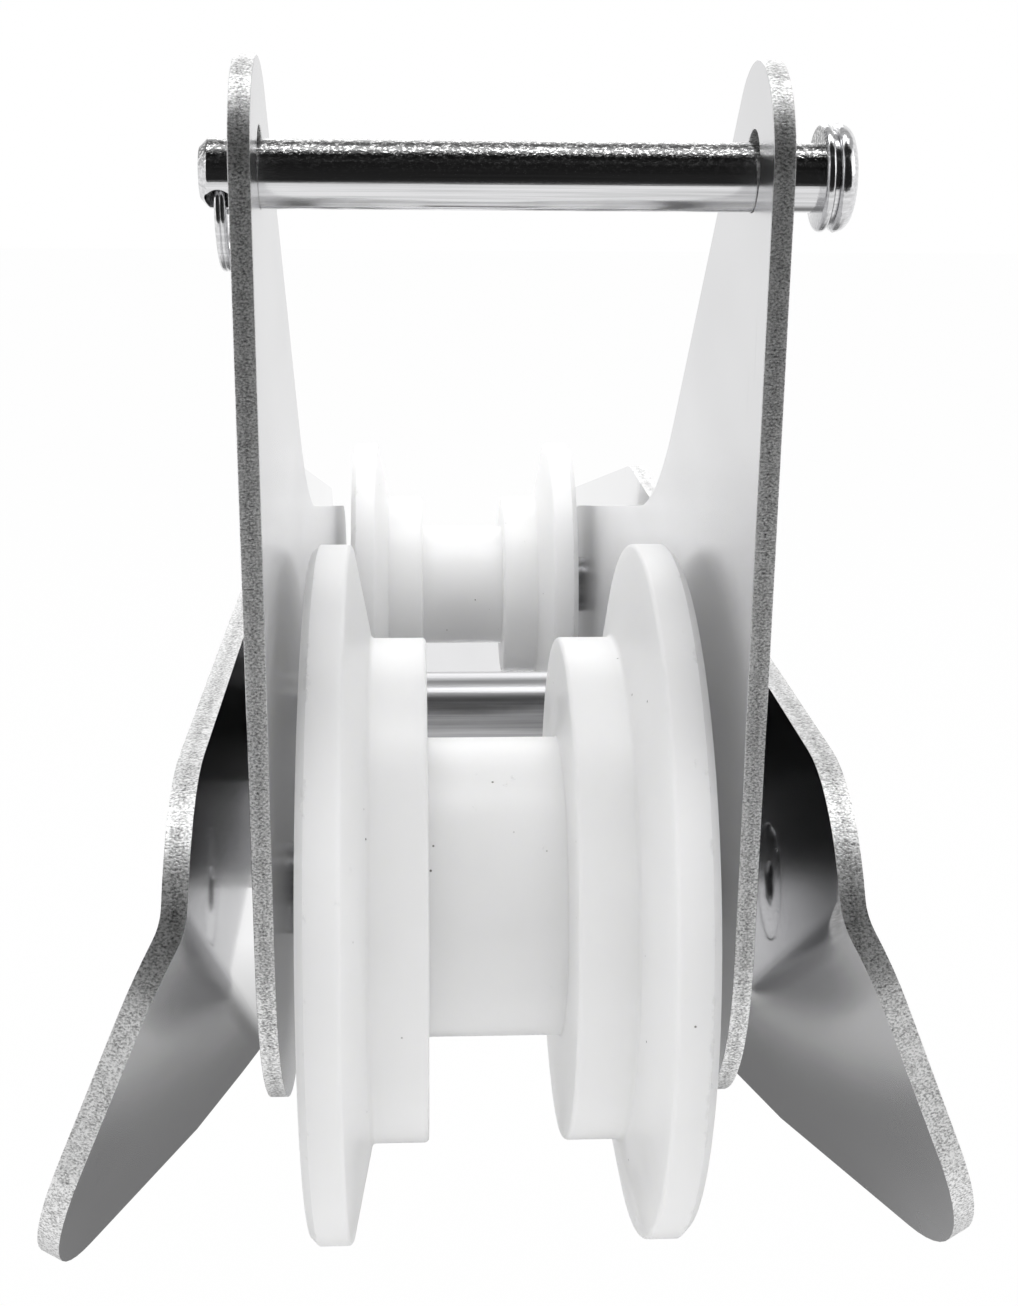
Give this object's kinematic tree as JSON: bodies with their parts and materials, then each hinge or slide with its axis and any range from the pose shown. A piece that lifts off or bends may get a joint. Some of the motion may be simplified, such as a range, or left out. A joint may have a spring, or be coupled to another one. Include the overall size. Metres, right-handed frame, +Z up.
{
  "type": "tilting bow roller",
  "caption": "Tilting anchor bow roller: flared deck channel, pivoting steel cradle with two grooved nylon rollers, and a headed retaining pin held by a split ring.",
  "frame": {"origin": "centre of the four deck bolt holes, on the underside of the deck channel", "axes": "+Z up from the deck, the bow end with the large roller faces -Y, +X runs across, along the roller axles"},
  "size_m": [0.1356, 0.4277, 0.1978],
  "materials": {
    "polished_steel": "mirror-polished stainless sheet with laser-cut edges",
    "fastener_steel": "bright turned stainless",
    "pin_steel": "bright polished stainless",
    "white_nylon": "satin turned nylon, slightly translucent",
    "bearing_plastic": "plain turned nylon"
  },
  "bodies": {
    "base": {"base_channel": "polished_steel", "pivot_bolt": "fastener_steel", "pivot_nut": "fastener_steel", "pivot_washer_left": "fastener_steel", "pivot_washer_right": "fastener_steel", "thrust_washer_left": "bearing_plastic", "thrust_washer_right": "bearing_plastic"},
    "cradle": {"left_side_plate": "polished_steel", "right_side_plate": "polished_steel", "pivot_tube": "polished_steel", "pivot_bush_left": "bearing_plastic", "pivot_bush_right": "bearing_plastic", "front_axle_tube": "fastener_steel", "rear_axle_tube": "fastener_steel", "front_axle_screw_left": "fastener_steel", "front_axle_screw_right": "fastener_steel", "rear_axle_screw_left": "fastener_steel", "rear_axle_screw_right": "fastener_steel"},
    "bow_roller": {"front_roller": "white_nylon"},
    "stern_roller": {"rear_roller": "white_nylon"},
    "pin": {"retaining_pin": "pin_steel"},
    "ring": {"split_ring": "pin_steel"}
  },
  "joints": [
    {"name": "cradle_tilt", "type": "hinge", "parent": "base", "child": "cradle", "pos_m": [0, -0.123, 0.0462], "axis": [1, 0, 0], "range_deg": [0, 25]},
    {"name": "bow_roller_spin", "type": "hinge", "parent": "cradle", "child": "bow_roller", "pos_m": [0, -0.22, 0.0471], "axis": [1, 0, 0], "continuous": true},
    {"name": "stern_roller_spin", "type": "hinge", "parent": "cradle", "child": "stern_roller", "pos_m": [0, -0.002, 0.045], "axis": [1, 0, 0], "continuous": true},
    {"name": "pin_slide", "type": "slide", "parent": "cradle", "child": "pin", "axis": [-1, 0, 0], "range_m": [0, 0.006]},
    {"name": "ring_turn", "type": "hinge", "parent": "pin", "child": "ring", "pos_m": [-0.0398, -0.24734, 0.16436], "axis": [1, 0, 0], "continuous": true}
  ]
}
